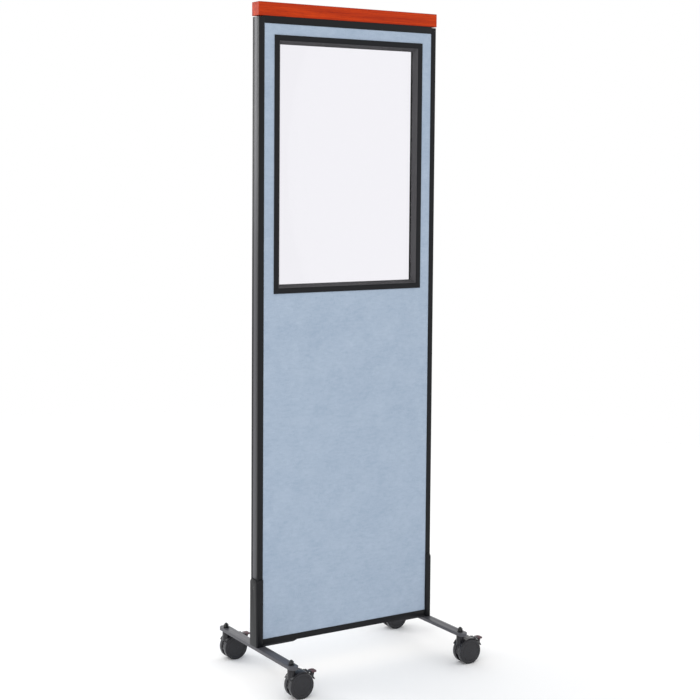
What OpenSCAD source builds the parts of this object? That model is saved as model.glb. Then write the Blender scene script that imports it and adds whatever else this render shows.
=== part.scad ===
// Mobile partition wall: a fabric-covered panel with a window in its upper part,
// a metal edge frame, a wooden cap, and two T-shaped feet on braked twin-wheel casters.
// Origin: floor level, at the middle of the footprint box. +X along the wall, -Y is the front.

/* [Wall] */
// Width of the wall over its end stiles
wall_w = 616; // [560:1:1200]
// Thickness of the edge frame
wall_t = 42; // [40:0.5:56]
// Height of the edge frame, bottom rail to top rail
frame_h = 1840.5; // [1400:0.5:2300]
// Height of the wooden cap
cap_h = 39.5; // [25:0.5:60]
// How far the cap stands proud of the frame all round
cap_overhang = 1.5; // [0:0.1:3]

/* [Edge frame] */
// Width of a stile's front face
stile_face = 17.5; // [16:0.5:30]
// Height of the bottom rail's front face
bottom_rail_h = 17.5; // [16:0.5:40]
// Height of the top rail's front face
top_rail_h = 20.5; // [16:0.5:40]
// Wall thickness of the stile and rail tubes
tube_wall = 2; // [1.2:0.1:2.5]
// Radius of the rounded outer corners of the stiles
corner_r = 3; // [3:0.5:12]
// Shadow gap between a stile's top and the cap
stile_drop = 3; // [0.5:0.1:5]
// Width of the strip that closes a stile's end groove
trim_w = 21; // [14:0.5:24]
// Depth of the groove that the strip lies in
trim_groove = 1.6; // [1:0.1:2.5]

/* [Corner brackets] */
// Length of each arm
bracket_arm = 40; // [30:1:60]
// Thickness of the bracket steel
bracket_t = 3; // [2:0.5:5]
// Width of the bracket across the wall's thickness
bracket_w = 18; // [12:1:22]
// Distance of the first screw from the inside corner
bracket_hole_1 = 14; // [12:1:18]
// Distance of the second screw from the inside corner
bracket_hole_2 = 30; // [24:1:34]

/* [Fabric panels and core] */
// Thickness of a fabric-wrapped board
board_t = 8.2; // [5:0.1:9]
// How far the fabric lies behind the frame's face
fabric_recess = 0.8; // [0:0.1:2]
// Height of the battens above and below the window
batten_h = 40; // [25:1:60]

/* [Window] */
// Width over the window trim
window_w = 515; // [300:1:540]
// Height over the window trim
window_h = 749.5; // [400:0.5:900]
// Fabric showing above the window trim
window_top_gap = 31.8; // [15:0.1:80]
// Flat face of a window bar
bar_face = 15; // [12:0.1:18]
// Full width of a window bar, with its slope down to the pane
bar_w = 26; // [20:0.1:44]
// Part of a bar that laps over the fabric
bar_lap = 8; // [4:0.5:11]
// How far the window bars stand out from the fabric
bar_proud = 2; // [1.5:0.1:4]
// Thickness of the clear pane
pane_t = 5; // [3:0.5:8]
// Thickness of the rubber gasket on each side of the pane
gasket_t = 3; // [1:0.5:4]

/* [Feet] */
// Height of the sleeves above the bottom rail
sleeve_h = 197; // [120:1:300]
// Thickness of the sleeve steel
sleeve_t = 2.7; // [1.5:0.1:4]
// Height of the sleeve screw above the bottom rail
sleeve_screw_h = 169.5; // [60:0.5:175]
// Width of a leg
leg_w = 30; // [26:0.5:50]
// Thickness of a leg
leg_t = 9.5; // [6:0.5:20]
// Distance of a leg's centre line from the wall's end
leg_inset = 12; // [10:0.5:30]
// Distance between the two caster stems of one foot
stem_spacing = 406.4; // [300:0.1:600]
// Length of a leg past each stem, before its rounded end begins
leg_overrun = 10; // [0:0.5:30]
// Thickness of the base plate under the bottom rail
base_t = 4.5; // [3:0.5:8]
// Length of the base plate from the wall's end
base_l = 133; // [125:1:200]

/* [Casters] */
// Height from the floor to the underside of the leg
caster_h = 90; // [89:0.5:110]
// Wheel diameter
wheel_d = 76; // [70:0.5:76]
// Width of one of the twin wheels
wheel_w = 14.5; // [12:0.5:20]
// Distance between the twin wheels
wheel_gap = 13; // [12:0.5:18]
// Distance of the wheel axis behind the stem
trail = 25.5; // [20:0.5:30]
// Diameter of the threaded stem
stem_d = 9.5; // [8:0.1:9.6]
// Width of the stem nut across its flats
nut_af = 14.3; // [13:0.1:17]
// Height of the stem nut
nut_h = 8.3; // [6:0.1:10]
// Bare thread above the nut
stem_bare = 3.5; // [3:0.5:15]
// Turn of the brake lever from free to locked, in degrees
brake_turn = 12; // [6:1:14]
// Reach of the brake lever's paddle behind the wheel axis
paddle_reach = 52.5; // [50:0.5:60]

/* [Hidden] */
$fn = 64;
CORNERS = ["front_left", "front_right", "rear_left", "rear_right"];
CASTER_PIECES = ["caster_hood", "caster_pins", "front_wheel", "back_wheel", "brake_lever"];
WALL_NODES = [
    "top_cap", "cap_screws", "top_rail", "bottom_rail", "left_stile", "right_stile",
    "left_end_trim", "right_end_trim", "corner_brackets", "frame_screws",
    "front_fabric_panel", "rear_fabric_panel", "honeycomb_core",
    "left_inner_stud", "right_inner_stud", "window_head_batten", "window_sill_batten",
    "window_pane", "front_gasket", "rear_gasket",
    "front_window_top_bar", "front_window_bottom_bar",
    "front_window_left_bar", "front_window_right_bar",
    "rear_window_top_bar", "rear_window_bottom_bar",
    "rear_window_left_bar", "rear_window_right_bar",
    "left_sleeve", "right_sleeve", "left_leg", "right_leg",
    "left_base_plate", "right_base_plate", "sleeve_screws", "base_bolts",
    "caster_stems", "stem_washers", "stem_nuts"
];

// Clearances
seat_gap = 0.3;   // between a piece and the pocket that it drops into
fabric_gap = 0.2; // between a fabric panel's edge and the frame
bore_gap = 0.05;  // radial, round a screw in its tapped hole
run_gap = 0.1;    // radial, round a pin that something turns on
turn_gap = 0.3;   // between faces that turn past each other
slack = 1;        // how far a cutting tool runs past the face that it cuts

// Heights
leg_z = caster_h;
base_z = leg_z + leg_t;
frame_z = base_z + base_t;
frame_top = frame_z + frame_h;
inner_z0 = frame_z + bottom_rail_h;
inner_z1 = frame_top - top_rail_h;

// Widths, from the wall's own middle plane
half_w = wall_w / 2;
half_t = wall_t / 2;
inner_x = half_w - stile_face;
stem_x = half_w - leg_inset;
stem_y = stem_spacing / 2;

// The casters trail to +X, so the wall stands left of the footprint's middle
foot_out = max(seat_gap + sleeve_t, leg_w / 2 - leg_inset);
caster_out = trail + paddle_reach - leg_inset;
wall_x = (foot_out - caster_out) / 2;

// Panels and window
fabric_y = half_t - fabric_recess;
core_y = fabric_y - board_t - seat_gap;
window_z1 = inner_z1 - window_top_gap;
window_z0 = window_z1 - window_h;
cut_w = window_w - 2 * bar_lap;
cut_z0 = window_z0 + bar_lap;
cut_z1 = window_z1 - bar_lap;
opening_gap = 0.5; // between the battens and the cut edge of the boards
lining_x = cut_w / 2 + opening_gap;
lining_z0 = cut_z0 - opening_gap;
lining_z1 = cut_z1 + opening_gap;
pane_edge = 3;     // free space round the pane's edge
gasket_w = 11.5;
bar_chamfer = 0.8;
bar_groove = 1;    // size of the step between a bar's face and its slope
bar_back = pane_t / 2 + gasket_t;

// Screws: [shank radius, head radius, head height]
SMALL_SCREW = [2, 4, 2.5];
SLEEVE_SCREW = [2.2, 4.2, 2];
BASE_BOLT = [2.5, 5, 2.4];
screw_bite = 4;     // how far a screw reaches past the tube wall that holds it
cap_bite = 20;      // how far a cap screw reaches into the wood
socket_share = 0.45; // hexagon socket, as a share of the head's radius
cap_screw_inset = 80;
base_bolt_1 = 60;
base_bolt_2 = 110;
base_end_chamfer = 12;
base_end_land = 1.5;
sleeve_clip = 12;   // how far the clipped sleeve corner runs along its top edge
sleeve_clip_h = 14;

// Casters, with the wheel axis at [trail, 0, wheel_r]
wheel_r = wheel_d / 2;
wheel_in = wheel_gap / 2;
wheel_out = wheel_in + wheel_w;
web_half = wheel_in - 0.5;
axle_r = 4;
hub_r = 9;
rim_in = wheel_r - 8;
disc_t = 4;
axle_end = wheel_out - 2.5;
hood_in = wheel_r + 1.5;
hood_out = wheel_r + 4;
hood_half = wheel_out - 0.5;
hood_from = 58;     // degrees, measured at the wheel axis from +X upwards
hood_to = 150;
web_low = 8;        // how far the web reaches below the wheel axis
flange_t = 2.5;
flange_r = 9;
flange_z = caster_h - flange_t;
pivot_r = 4;
pivot_l = 15.5;
boss_r = 11.5;
boss_top = flange_z - turn_gap;
boss_low = caster_h - 30;
pin_angle = 50;     // where the brake pin lies on the hood
pin_from_axis = wheel_r + 5;
pin_r = 1.5;
pin_x = pin_from_axis * cos(pin_angle);
pin_z = pin_from_axis * sin(pin_angle);
ear_r = 4.4;
ear_in = 9.3;
ear_out = 12;
lever_hub_r = 4;
lever_hub_half = ear_in - turn_gap;
shoe_from = 14;
shoe_to = 41;
shoe_t = 3;
shoe_half = 15;
paddle_half = 12;
paddle_t = 4;
paddle_top = 2;     // height of the paddle's face above its pin
paddle_corner = 5;
rib_r = 0.7;
rib_pitch = 3.5;
washer_t = 1.6;
washer_r = 9;
nut_z = base_z + washer_t;
stem_top = nut_z + nut_h + stem_bare;
thread_pitch = 1.6;
thread_depth = 0.7;
leg_hole_gap = 0.3;

BLACK = [0.10, 0.10, 0.11];
CHARCOAL = [0.22, 0.22, 0.23];
GREY = [0.38, 0.38, 0.40];
STEEL = [0.72, 0.73, 0.75];
CHERRY = [0.74, 0.20, 0.10];
BLUE = [0.65, 0.71, 0.78];
WOOD = [0.80, 0.68, 0.50];
PAPER = [0.70, 0.58, 0.42];
CLEAR = [0.92, 0.95, 0.97, 0.35];
MAROON = [0.36, 0.22, 0.24];

// ---- Helpers ----

// Box between two corners
module block(low, high) {
    translate(low)
        cube(high - low);
}

// Everything on the wall is drawn about the wall's middle and then shifted
module on_wall() {
    translate([wall_x, 0, 0])
        children();
}

// Children drawn for the left end, with x = 0 at the end face and +X inwards
module at_end(side) {
    on_wall()
        mirror([side > 0 ? 1 : 0, 0, 0])
            translate([-half_w, 0, 0])
                children();
}

// Outline of the wall's end: rounded at x = 0, square at x = depth
module end_outline(depth, half, r) {
    translate([r, -half])
        square([depth - r, 2 * half]);
    translate([0, r - half])
        square([r, 2 * (half - r)]);
    intersection() {
        for (side = [-1, 1])
            translate([r, side * (half - r)])
                circle(r);
        translate([0, -half])
            square([depth, 2 * half]);
    }
}

// Screw along -Z with its head standing on z = 0
module screw(size, length) {
    difference() {
        union() {
            cylinder(r = size[1], h = size[2]);
            translate([0, 0, -length])
                cylinder(r = size[0], h = length + size[2] / 2);
        }
        translate([0, 0, size[2] / 2])
            cylinder(r = size[1] * socket_share, h = size[2], $fn = 6);
    }
}

// Children at each inside corner of the frame, drawn for the lower left one
module at_frame_corners() {
    for (side = [-1, 1], top = [0, 1])
        mirror([side > 0 ? 1 : 0, 0, 0])
            translate([-inner_x, 0, top > 0 ? inner_z1 : inner_z0])
                mirror([0, 0, top])
                    children();
}

// Children at each screw of a corner bracket, with -Z into the frame
module at_bracket_screws() {
    at_frame_corners()
        for (d = [bracket_hole_1, bracket_hole_2]) {
            translate([d, 0, bracket_t])
                children();
            translate([bracket_t, 0, d])
                rotate([0, 90, 0])
                    children();
        }
}

bracket_screw_l = bracket_t + tube_wall + screw_bite;

module bracket_screw_holes() {
    at_bracket_screws()
        translate([0, 0, -bracket_screw_l])
            cylinder(r = SMALL_SCREW[0] + bore_gap, h = bracket_screw_l + slack);
}

// Cylinder along Y between two values of y
module y_cylinder(r, y0, y1) {
    translate([0, y0, 0])
        rotate([-90, 0, 0])
            cylinder(r = r, h = y1 - y0);
}

// Ring sector about Y; angles run from +X upwards
module y_ring(r0, r1, y0, y1, from, to) {
    translate([0, y1, 0])
        rotate([90, 0, 0])
            rotate([0, 0, from])
                rotate_extrude(angle = to - from)
                    translate([r0, 0])
                        square([r1 - r0, y1 - y0]);
}

// Solid with a constant side view, drawn in X and Z, between two values of y
module side_plate(y0, y1) {
    translate([0, y1, 0])
        rotate([90, 0, 0])
            linear_extrude(y1 - y0)
                children();
}

// Flat ring sector; angles run from +X upwards and span less than 90 degrees
module flat_sector(r0, r1, from, to) {
    reach = 2 * r1;
    intersection() {
        difference() {
            circle(r1);
            circle(r0);
        }
        polygon([
            [0, 0],
            [reach * cos(from), reach * sin(from)],
            [reach * cos(to), reach * sin(to)]
        ]);
    }
}

// ---- Wooden cap ----

module at_cap_screws() {
    for (x = [cap_screw_inset - half_w, 0, half_w - cap_screw_inset])
        translate([x, 0, frame_top - tube_wall])
            rotate([180, 0, 0])
                children();
}

cap_screw_l = tube_wall + cap_bite;

module cap_outline() {
    half_x = half_w + cap_overhang;
    half_y = half_t + cap_overhang;
    for (side = [0, 1])
        mirror([side, 0])
            translate([-half_x, 0])
                end_outline(half_x, half_y, corner_r);
}

module top_cap() {
    color(CHERRY)
        on_wall()
            difference() {
                translate([0, 0, frame_top])
                    linear_extrude(cap_h)
                        cap_outline();
                at_cap_screws()
                    translate([0, 0, -cap_screw_l - bore_gap])
                        cylinder(r = SMALL_SCREW[0] + bore_gap, h = cap_screw_l);
            }
}

module cap_screws() {
    color(STEEL)
        on_wall()
            at_cap_screws()
                screw(SMALL_SCREW, cap_screw_l);
}

// ---- Edge frame ----

module rail_tube(z0, z1) {
    difference() {
        block([-inner_x, -half_t, z0], [inner_x, half_t, z1]);
        block(
            [-inner_x - slack, tube_wall - half_t, z0 + tube_wall],
            [inner_x + slack, half_t - tube_wall, z1 - tube_wall]
        );
    }
}

module top_rail() {
    access_r = SMALL_SCREW[1] + 1;
    color(BLACK)
        on_wall()
            difference() {
                rail_tube(inner_z1, frame_top);
                bracket_screw_holes();
                at_cap_screws() {
                    translate([0, 0, -tube_wall - slack])
                        cylinder(r = SMALL_SCREW[0] + bore_gap, h = tube_wall + 2 * slack);
                    translate([0, 0, SMALL_SCREW[2] + slack])
                        cylinder(r = access_r, h = top_rail_h);
                }
            }
}

module bottom_rail() {
    color(BLACK)
        on_wall()
            difference() {
                rail_tube(frame_z, inner_z0);
                bracket_screw_holes();
                at_base_bolts()
                    translate([0, 0, -base_bolt_l])
                        cylinder(r = BASE_BOLT[0] + bore_gap, h = base_bolt_l);
            }
}

// One stile, drawn in place for the left or the right end
module stile(side) {
    hollow_x = trim_groove + tube_wall;
    color(BLACK)
        difference() {
            at_end(side)
                difference() {
                    translate([0, 0, frame_z])
                        linear_extrude(frame_h - stile_drop)
                            difference() {
                                end_outline(stile_face, half_t, corner_r);
                                intersection() {
                                    translate([tube_wall, 0])
                                        end_outline(
                                            stile_face - 2 * tube_wall,
                                            half_t - tube_wall,
                                            corner_r - tube_wall
                                        );
                                    translate([hollow_x, -half_t])
                                        square([stile_face, wall_t]);
                                }
                                translate([-slack, -trim_w / 2])
                                    square([trim_groove + slack, trim_w]);
                            }
                    sleeve_screw_hole(SLEEVE_SCREW[0] + bore_gap);
                }
            on_wall()
                bracket_screw_holes();
        }
}

// Strip that snaps into a stile's end groove, from the sleeve's top edge upwards
module end_trim(side) {
    face_x = 0.2;
    end_gap = 1;
    color(GREY)
        at_end(side)
            block(
                [face_x, seat_gap - trim_w / 2, frame_z + sleeve_h + end_gap],
                [trim_groove, trim_w / 2 - seat_gap, frame_top - stile_drop - end_gap]
            );
}

module corner_brackets() {
    color(STEEL)
        on_wall()
            difference() {
                at_frame_corners() {
                    block(
                        [0, -bracket_w / 2, 0],
                        [bracket_arm, bracket_w / 2, bracket_t]
                    );
                    block(
                        [0, -bracket_w / 2, 0],
                        [bracket_t, bracket_w / 2, bracket_arm]
                    );
                }
                bracket_screw_holes();
            }
}

module frame_screws() {
    color(STEEL)
        on_wall()
            at_bracket_screws()
                screw(SMALL_SCREW, bracket_screw_l);
}

// ---- Fabric panels and what lies between them ----

// Board wrapped in fabric, with its cut-out for the window; front is side = -1
module fabric_panel(side) {
    half_x = inner_x - fabric_gap;
    color(BLUE)
        on_wall()
            mirror([0, side > 0 ? 1 : 0, 0])
                difference() {
                    block(
                        [-half_x, -fabric_y, inner_z0 + fabric_gap],
                        [half_x, board_t - fabric_y, inner_z1 - fabric_gap]
                    );
                    block(
                        [-cut_w / 2, -fabric_y - slack, cut_z0],
                        [cut_w / 2, board_t - fabric_y + slack, cut_z1]
                    );
                }
}

// Room for the corner brackets' level arms and their screw heads
module bracket_room() {
    half = bracket_w / 2 + seat_gap;
    at_frame_corners()
        block(
            [-slack, -half, -slack],
            [bracket_arm + seat_gap, half, bracket_t + SMALL_SCREW[2] + slack]
        );
}

module honeycomb_core() {
    color(PAPER)
        on_wall()
            difference() {
                block(
                    [-lining_x, -core_y, inner_z0],
                    [lining_x, core_y, lining_z0 - batten_h]
                );
                bracket_room();
            }
}

// Upright between the boards, beside the window; it stops short of the corner brackets
module inner_stud(side) {
    end_gap = bracket_arm + 2;
    color(WOOD)
        at_end(side)
            block(
                [stile_face, -core_y, inner_z0 + end_gap],
                [half_w - lining_x, core_y, inner_z1 - end_gap]
            );
}

module window_head_batten() {
    color(WOOD)
        on_wall()
            difference() {
                block([-lining_x, -core_y, lining_z1], [lining_x, core_y, inner_z1]);
                bracket_room();
            }
}

module window_sill_batten() {
    color(WOOD)
        on_wall()
            block(
                [-lining_x, -core_y, lining_z0 - batten_h],
                [lining_x, core_y, lining_z0]
            );
}

// ---- Window ----

module window_pane() {
    half_x = cut_w / 2 - pane_edge;
    color(CLEAR)
        on_wall()
            block(
                [-half_x, -pane_t / 2, cut_z0 + pane_edge],
                [half_x, pane_t / 2, cut_z1 - pane_edge]
            );
}

// Rubber frame between the pane and the bars; front is side = -1
module gasket(side) {
    inner_edge = bar_w - seat_gap;
    outer_edge = inner_edge - gasket_w;
    far_y = side * bar_back;
    near_y = side * pane_t / 2;
    color(BLACK)
        on_wall()
            difference() {
                block(
                    [outer_edge - window_w / 2, min(near_y, far_y), window_z0 + outer_edge],
                    [window_w / 2 - outer_edge, max(near_y, far_y), window_z1 - outer_edge]
                );
                block(
                    [inner_edge - window_w / 2, -half_t, window_z0 + inner_edge],
                    [window_w / 2 - inner_edge, half_t, window_z1 - inner_edge]
                );
            }
}

// Section of a window bar as [y, distance in from the trim's outer edge]
function bar_section() =
    let (face_y = -fabric_y - bar_proud, leg_s = bar_lap + seat_gap)
    [
        [-fabric_y, 0],
        [face_y + bar_chamfer, 0],
        [face_y, bar_chamfer],
        [face_y, bar_face],
        [face_y + bar_groove, bar_face],
        [face_y + bar_groove, bar_face + bar_groove],
        [-bar_back - bar_groove, bar_w],
        [-bar_back, bar_w],
        [-bar_back, leg_s],
        [-fabric_y, leg_s]
    ];

// Bar along X with mitred ends; its outer edge lies on z = 0 and +Z points into the window
module mitred_bar(length) {
    intersection() {
        translate([-length / 2, 0, 0])
            rotate([90, 0, 90])
                linear_extrude(length)
                    polygon(bar_section());
        rotate([90, 0, 0])
            linear_extrude(2 * wall_t, center = true)
                polygon([
                    [-length / 2, 0],
                    [length / 2, 0],
                    [length / 2 - bar_w, bar_w],
                    [bar_w - length / 2, bar_w]
                ]);
    }
}

// Level bar at the top or bottom of the window; front is side = -1
module level_bar(side, top) {
    color(CHARCOAL)
        on_wall()
            mirror([0, side > 0 ? 1 : 0, 0])
                translate([0, 0, top ? window_z1 : window_z0])
                    mirror([0, 0, top ? 1 : 0])
                        mitred_bar(window_w);
}

// Upright bar at the left (end = -1) or right (end = 1) of the window
module upright_bar(side, end) {
    color(CHARCOAL)
        on_wall()
            mirror([0, side > 0 ? 1 : 0, 0])
                mirror([end > 0 ? 1 : 0, 0, 0])
                    translate([-window_w / 2, 0, (window_z0 + window_z1) / 2])
                        rotate([0, 90, 0])
                            mitred_bar(window_h);
}

// ---- Feet ----

// Hole through the sleeve's web and the stile's outer wall
module sleeve_screw_hole(r) {
    translate([-sleeve_t - slack, 0, frame_z + sleeve_screw_h])
        rotate([0, 90, 0])
            cylinder(r = r, h = sleeve_t + slack + trim_groove + tube_wall + slack);
}

// Bent steel channel that clasps the wall's end and stands on the leg
module sleeve(side) {
    out = seat_gap + sleeve_t;
    height = sleeve_h + base_t;
    clip_tilt = atan2(sleeve_clip, sqrt(2) * sleeve_clip_h);
    cone_r = SLEEVE_SCREW[1] + bore_gap;
    shank_r = SLEEVE_SCREW[0] + bore_gap;
    tool = 4 * wall_t;
    color(CHARCOAL)
        at_end(side)
            difference() {
                translate([0, 0, base_z])
                    linear_extrude(height)
                        difference() {
                            translate([-out, 0])
                                end_outline(
                                    stile_face + out,
                                    half_t + out,
                                    corner_r + out
                                );
                            translate([-seat_gap, 0])
                                end_outline(
                                    stile_face + wall_t,
                                    half_t + seat_gap,
                                    corner_r + seat_gap
                                );
                        }
                sleeve_screw_hole(shank_r);
                translate([-out, 0, frame_z + sleeve_screw_h])
                    rotate([0, 90, 0])
                        cylinder(r1 = cone_r, r2 = shank_r, h = SLEEVE_SCREW[2]);
                for (edge = [-1, 1])
                    translate([-out, edge * (half_t + out), base_z + height - sleeve_clip_h])
                        rotate([0, -clip_tilt, 180 - edge * 45])
                            translate([0, -tool / 2, -tool / 2])
                                cube(tool);
            }
}

// Countersunk screw through each sleeve
module sleeve_screws() {
    out = seat_gap + sleeve_t;
    length = out + trim_groove + tube_wall + screw_bite;
    color(STEEL)
        for (side = [-1, 1])
            at_end(side)
                translate([-out, 0, frame_z + sleeve_screw_h])
                    rotate([0, 90, 0])
                        difference() {
                            union() {
                                cylinder(
                                    r1 = SLEEVE_SCREW[1],
                                    r2 = SLEEVE_SCREW[0],
                                    h = SLEEVE_SCREW[2]
                                );
                                cylinder(r = SLEEVE_SCREW[0], h = length);
                            }
                            translate([0, 0, -slack])
                                cylinder(
                                    r = SLEEVE_SCREW[1] * socket_share,
                                    h = slack + SLEEVE_SCREW[2] * 0.7,
                                    $fn = 6
                                );
                        }
}

// Level steel bar under the wall's end, round-ended, with a caster stem at each end
module leg(side) {
    color(CHARCOAL)
        at_end(side)
            translate([leg_inset, 0, leg_z])
                linear_extrude(leg_t)
                    difference() {
                        union() {
                            square([leg_w, stem_spacing + 2 * leg_overrun], center = true);
                            for (end = [-1, 1])
                                translate([0, end * (stem_y + leg_overrun)])
                                    circle(leg_w / 2);
                        }
                        for (end = [-1, 1])
                            translate([0, end * stem_y])
                                circle(stem_d / 2 + leg_hole_gap);
                    }
}

base_bolt_l = base_t + tube_wall + screw_bite;

module at_base_bolts() {
    for (side = [-1, 1], d = [base_bolt_1, base_bolt_2])
        translate([side * (half_w - d), 0, base_z])
            rotate([180, 0, 0])
                children();
}

// Plate between the leg and the bottom rail, with a sloping inner end
module base_plate(side) {
    color(CHARCOAL)
        difference() {
            at_end(side)
                translate([0, 0, base_z])
                    intersection() {
                        linear_extrude(base_t)
                            end_outline(base_l, half_t, corner_r);
                        rotate([90, 0, 0])
                            linear_extrude(2 * wall_t, center = true)
                                polygon([
                                    [0, 0],
                                    [base_l - base_end_chamfer, 0],
                                    [base_l, base_t - base_end_land],
                                    [base_l, base_t],
                                    [0, base_t]
                                ]);
                    }
            on_wall()
                at_base_bolts()
                    translate([0, 0, -base_bolt_l])
                        cylinder(r = BASE_BOLT[0] + bore_gap, h = base_bolt_l + slack);
        }
}

module base_bolts() {
    color(STEEL)
        on_wall()
            at_base_bolts()
                screw(BASE_BOLT, base_bolt_l);
}

// ---- Casters ----

// Children at each caster's stem, at floor level
module at_stems() {
    on_wall()
        for (sx = [-1, 1], sy = [-1, 1])
            translate([sx * stem_x, sy * stem_y, 0])
                children();
}

function thread_outline(r, z0, z1) =
    let (turns = floor((z1 - z0) / thread_pitch))
    concat(
        [[0, z0]],
        [
            for (i = [0 : turns - 1])
                each [
                    [r - thread_depth, z0 + i * thread_pitch],
                    [r, z0 + (i + 0.5) * thread_pitch]
                ]
        ],
        [[r - thread_depth, z0 + turns * thread_pitch], [r - thread_depth, z1], [0, z1]]
    );

// Stem: pivot pin inside the hood, flange under the leg, thread through leg and nut
module caster_stems() {
    plain_top = nut_z;
    tip_h = 1;
    color(STEEL)
        at_stems() {
            translate([0, 0, flange_z - pivot_l])
                cylinder(r = pivot_r, h = pivot_l + flange_t / 2);
            translate([0, 0, flange_z])
                cylinder(r = flange_r, h = flange_t);
            translate([0, 0, caster_h - flange_t / 2])
                cylinder(r = stem_d / 2, h = plain_top - caster_h + flange_t / 2);
            rotate_extrude()
                polygon(thread_outline(stem_d / 2, plain_top, stem_top));
            translate([0, 0, stem_top])
                cylinder(r1 = stem_d / 2 - thread_depth, r2 = pivot_r / 2, h = tip_h);
        }
}

module stem_washers() {
    color(STEEL)
        at_stems()
            translate([0, 0, base_z])
                difference() {
                    cylinder(r = washer_r, h = washer_t);
                    translate([0, 0, -slack])
                        cylinder(r = stem_d / 2 + leg_hole_gap, h = washer_t + 2 * slack);
                }
}

// Hexagon nuts with their corners turned off
module stem_nuts() {
    across_corners = nut_af / cos(30);
    turned = across_corners / 2 - nut_af / 2;
    color(STEEL)
        at_stems()
            translate([0, 0, nut_z])
                difference() {
                    intersection() {
                        cylinder(d = across_corners, h = nut_h, $fn = 6);
                        union() {
                            cylinder(
                                r1 = nut_af / 2,
                                r2 = nut_af / 2 + nut_h,
                                h = nut_h
                            );
                            translate([0, 0, turned])
                                cylinder(r = across_corners / 2 + slack, h = nut_h);
                        }
                        union() {
                            cylinder(r = across_corners / 2 + slack, h = nut_h - turned);
                            cylinder(
                                r1 = nut_af / 2 + nut_h,
                                r2 = nut_af / 2,
                                h = nut_h
                            );
                        }
                    }
                    translate([0, 0, -slack])
                        cylinder(r = stem_d / 2 + bore_gap, h = nut_h + 2 * slack);
                }
}

// Children at one caster's stem, at floor level
module at_caster(corner) {
    sx = corner == "front_left" || corner == "rear_left" ? -1 : 1;
    sy = corner == "front_left" || corner == "front_right" ? -1 : 1;
    on_wall()
        translate([sx * stem_x, sy * stem_y, 0])
            children();
}

module at_wheel_axis() {
    translate([trail, 0, wheel_r])
        children();
}

module at_brake_pin() {
    translate([pin_x, 0, pin_z])
        children();
}

// Moulded hood: web between the wheels, fender over them, stem boss, brake ears
module caster_hood() {
    web_r = wheel_r - 2;
    neck_in = wheel_r - 8;
    neck_out = hood_in + 0.5;
    neck_from = hood_from + 2;
    color(BLACK)
        difference() {
            union() {
                at_wheel_axis() {
                    intersection() {
                        y_cylinder(web_r, -web_half, web_half);
                        block(
                            [-2 * wheel_r, -wheel_r, -web_low],
                            [2 * wheel_r, wheel_r, 2 * wheel_r]
                        );
                    }
                    y_cylinder(hub_r + 3, -web_half, web_half);
                    y_ring(neck_in, neck_out, -web_half, web_half, neck_from, hood_to);
                    y_ring(hood_in, hood_out, -hood_half, hood_half, hood_from, hood_to);
                    side_plate(ear_in, ear_out)
                        brake_ear();
                    side_plate(-ear_out, -ear_in)
                        brake_ear();
                }
                difference() {
                    translate([0, 0, boss_low])
                        cylinder(r = boss_r, h = boss_top - boss_low);
                    at_wheel_axis()
                        for (side = [0, 1])
                            mirror([0, side, 0])
                                y_cylinder(hood_in, web_half, wheel_out);
                }
            }
            at_wheel_axis()
                y_cylinder(axle_r + bore_gap, -wheel_out, wheel_out);
            translate([0, 0, flange_z - pivot_l - turn_gap])
                cylinder(r = pivot_r + run_gap, h = pivot_l + flange_t);
        }
}

// Side view of an ear that carries the brake pin at the fender's rear edge
module brake_ear() {
    ear_low = hood_in + 0.6;
    ear_high = hood_out + 2;
    difference() {
        union() {
            flat_sector(ear_low, ear_high, pin_angle, hood_from + 4);
            translate([pin_x, pin_z])
                circle(ear_r);
        }
        translate([pin_x, pin_z])
            circle(pin_r + bore_gap);
    }
}

// Wheel axle and brake pin, both fixed in the hood
module caster_pins() {
    color(STEEL)
        at_wheel_axis() {
            y_cylinder(axle_r, -axle_end, axle_end);
            at_brake_pin()
                y_cylinder(pin_r, -ear_out, ear_out);
        }
}

// One twin wheel, drawn for +Y: open hub side inwards, closed disc outwards
module caster_wheel() {
    tread_edge = 1.5;
    shoulder = 2.5;
    face_step = 0.6;
    disc_in = wheel_out - disc_t;
    hub_in = wheel_in - 0.2;
    cap_r = wheel_r - 10;
    blind_end = axle_end + turn_gap;
    color(BLACK)
        at_wheel_axis()
            rotate([-90, 0, 0])
                rotate_extrude()
                    polygon([
                        [axle_r + run_gap, hub_in],
                        [hub_r, hub_in],
                        [hub_r, disc_in],
                        [rim_in, disc_in],
                        [rim_in, wheel_in],
                        [wheel_r - tread_edge, wheel_in],
                        [wheel_r, wheel_in + tread_edge],
                        [wheel_r, wheel_out - shoulder],
                        [wheel_r - shoulder / 3, wheel_out - shoulder / 3],
                        [wheel_r - shoulder, wheel_out],
                        [cap_r + face_step, wheel_out],
                        [cap_r, wheel_out - face_step],
                        [cap_r - face_step, wheel_out],
                        [0, wheel_out],
                        [0, blind_end],
                        [axle_r + run_gap, blind_end]
                    ]);
}

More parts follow.
